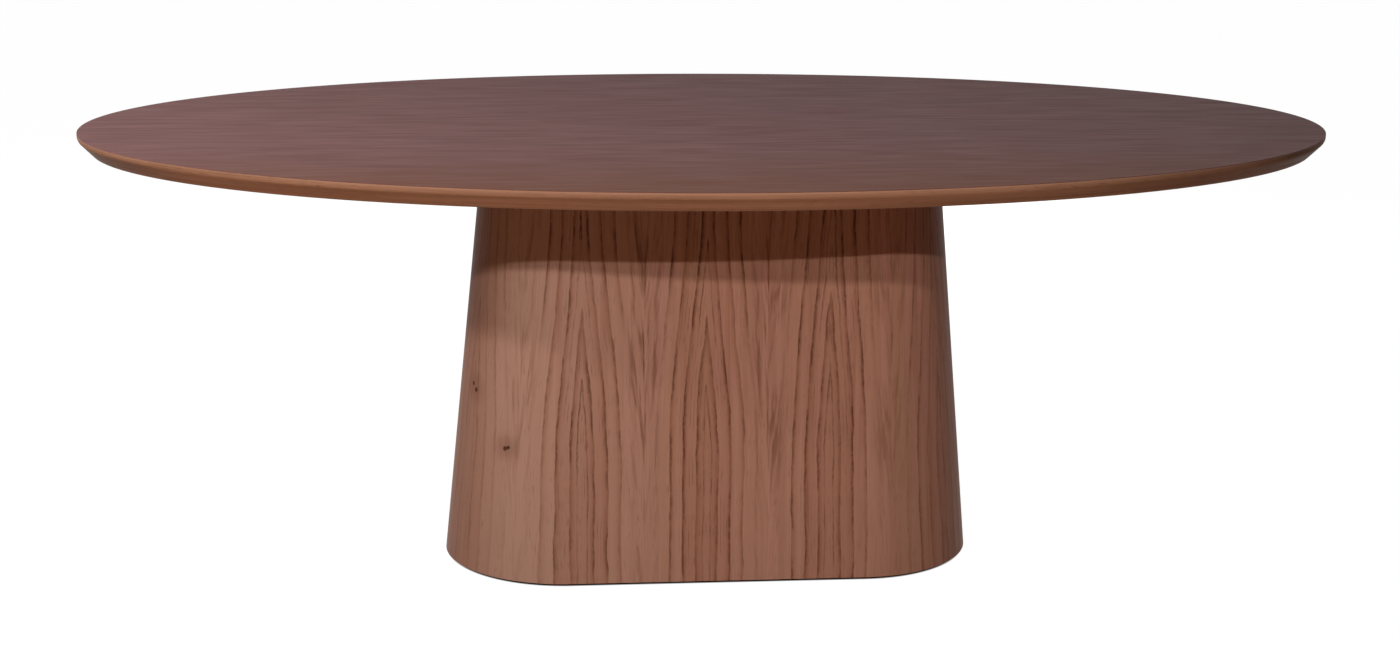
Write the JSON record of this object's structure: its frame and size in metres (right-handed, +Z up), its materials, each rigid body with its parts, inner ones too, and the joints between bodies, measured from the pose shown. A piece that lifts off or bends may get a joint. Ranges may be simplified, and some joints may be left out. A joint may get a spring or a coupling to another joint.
{
  "type": "dining table",
  "caption": "Oval dining table with an undercut bevelled rim on a tapered, round-ended pedestal, clad in matched wood veneer and standing on levelling feet.",
  "frame": {"origin": "on the floor, under the middle of the table", "axes": "+X along the length of the top, +Y across it towards the back, +Z up"},
  "size_m": [2.2, 1.2, 0.78],
  "materials": {
    "top_veneer": "satin lacquer, dark purple-brown, grain along the table",
    "lipping": "satin lacquer on solid wood",
    "base_veneer": "satin lacquer, upright cathedral figure",
    "backing": "thin sealed backing veneer",
    "fibreboard": "raw fibreboard",
    "plywood": "raw plywood",
    "softwood": "planed softwood",
    "zinc_steel": "zinc plated",
    "foot_plastic": "moulded, dark brown"
  },
  "bodies": {
    "table": {"back_panel": "fibreboard", "base_leaf_back": "base_veneer", "base_leaf_back_left": "base_veneer", "base_leaf_back_right": "base_veneer", "base_leaf_front": "base_veneer", "base_leaf_front_left": "base_veneer", "base_leaf_front_right": "base_veneer", "base_leaf_left_end_back": "base_veneer", "base_leaf_left_end_front": "base_veneer", "base_leaf_right_end_back": "base_veneer", "base_leaf_right_end_front": "base_veneer", "batten_lower_back_left": "softwood", "batten_lower_back_right": "softwood", "batten_lower_front_left": "softwood", "batten_lower_front_right": "softwood", "batten_upper_back_left": "softwood", "batten_upper_back_right": "softwood", "batten_upper_front_left": "softwood", "batten_upper_front_right": "softwood", "bottom_plate": "plywood", "foot_nuts": "zinc_steel", "front_panel": "fibreboard", "left_end_shell": "plywood", "lipping_back": "lipping", "lipping_back_left": "lipping", "lipping_back_right": "lipping", "lipping_front": "lipping", "lipping_front_left": "lipping", "lipping_front_right": "lipping", "lipping_left_end": "lipping", "lipping_right_end": "lipping", "middle_rib": "plywood", "right_end_shell": "plywood", "top_backing": "backing", "top_bolts": "zinc_steel", "top_core_lower": "fibreboard", "top_core_upper": "fibreboard", "top_face_leaf_1": "top_veneer", "top_face_leaf_2": "top_veneer", "top_face_leaf_3": "top_veneer", "top_face_leaf_4": "top_veneer", "top_face_leaf_5": "top_veneer", "top_inserts": "zinc_steel", "top_plate": "plywood", "top_washers": "zinc_steel"},
    "foot_front_right": {"foot_stud_front_right": "zinc_steel", "foot_pad_front_right": "foot_plastic"},
    "foot_front_left": {"foot_stud_front_left": "zinc_steel", "foot_pad_front_left": "foot_plastic"},
    "foot_back_right": {"foot_stud_back_right": "zinc_steel", "foot_pad_back_right": "foot_plastic"},
    "foot_back_left": {"foot_stud_back_left": "zinc_steel", "foot_pad_back_left": "foot_plastic"}
  },
  "joints": [
    {"name": "foot_front_right_level", "type": "slide", "parent": "table", "child": "foot_front_right", "axis": [0, 0, -1], "range_m": [0, 0.01]},
    {"name": "foot_front_left_level", "type": "slide", "parent": "table", "child": "foot_front_left", "axis": [0, 0, -1], "range_m": [0, 0.01]},
    {"name": "foot_back_right_level", "type": "slide", "parent": "table", "child": "foot_back_right", "axis": [0, 0, -1], "range_m": [0, 0.01]},
    {"name": "foot_back_left_level", "type": "slide", "parent": "table", "child": "foot_back_left", "axis": [0, 0, -1], "range_m": [0, 0.01]}
  ]
}
